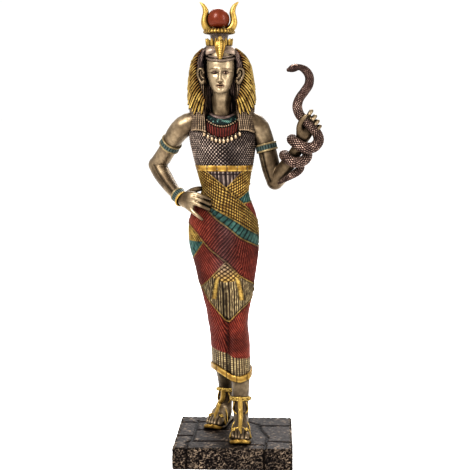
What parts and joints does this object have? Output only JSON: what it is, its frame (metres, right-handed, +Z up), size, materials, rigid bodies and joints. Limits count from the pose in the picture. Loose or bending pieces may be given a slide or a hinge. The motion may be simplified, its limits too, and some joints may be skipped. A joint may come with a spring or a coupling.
{
  "type": "goddess statuette",
  "caption": "Standing figurine of a horned goddess in a long wrapped dress, hand on hip, with a snake wound round the raised arm, on a square paved base.",
  "frame": {"origin": "centre of the base's underside", "axes": "+Z up through the figure, -Y the way the figure faces, +X towards its left hand, which holds the snake"},
  "size_m": [0.1113, 0.069, 0.2864],
  "materials": {
    "bronze_casting": "bronze-filled resin, dark wash in the recesses, rubbed back to pale champagne bronze on the high spots",
    "stone_casting": "dark brown-grey resin stone, pitted, dry-brushed with bronze",
    "gold_paint": "old gold paint, worn darker in the recesses",
    "red_glaze": "glossy translucent red-brown enamel over bronze",
    "painted_dress": "brick red, teal and old gold washes over ribbed bronze",
    "snake_bronze": "purple-brown bronze with pale rubbed scales"
  },
  "bodies": {
    "root": {"figure": "bronze_casting", "base": "stone_casting"}
  },
  "joints": []
}
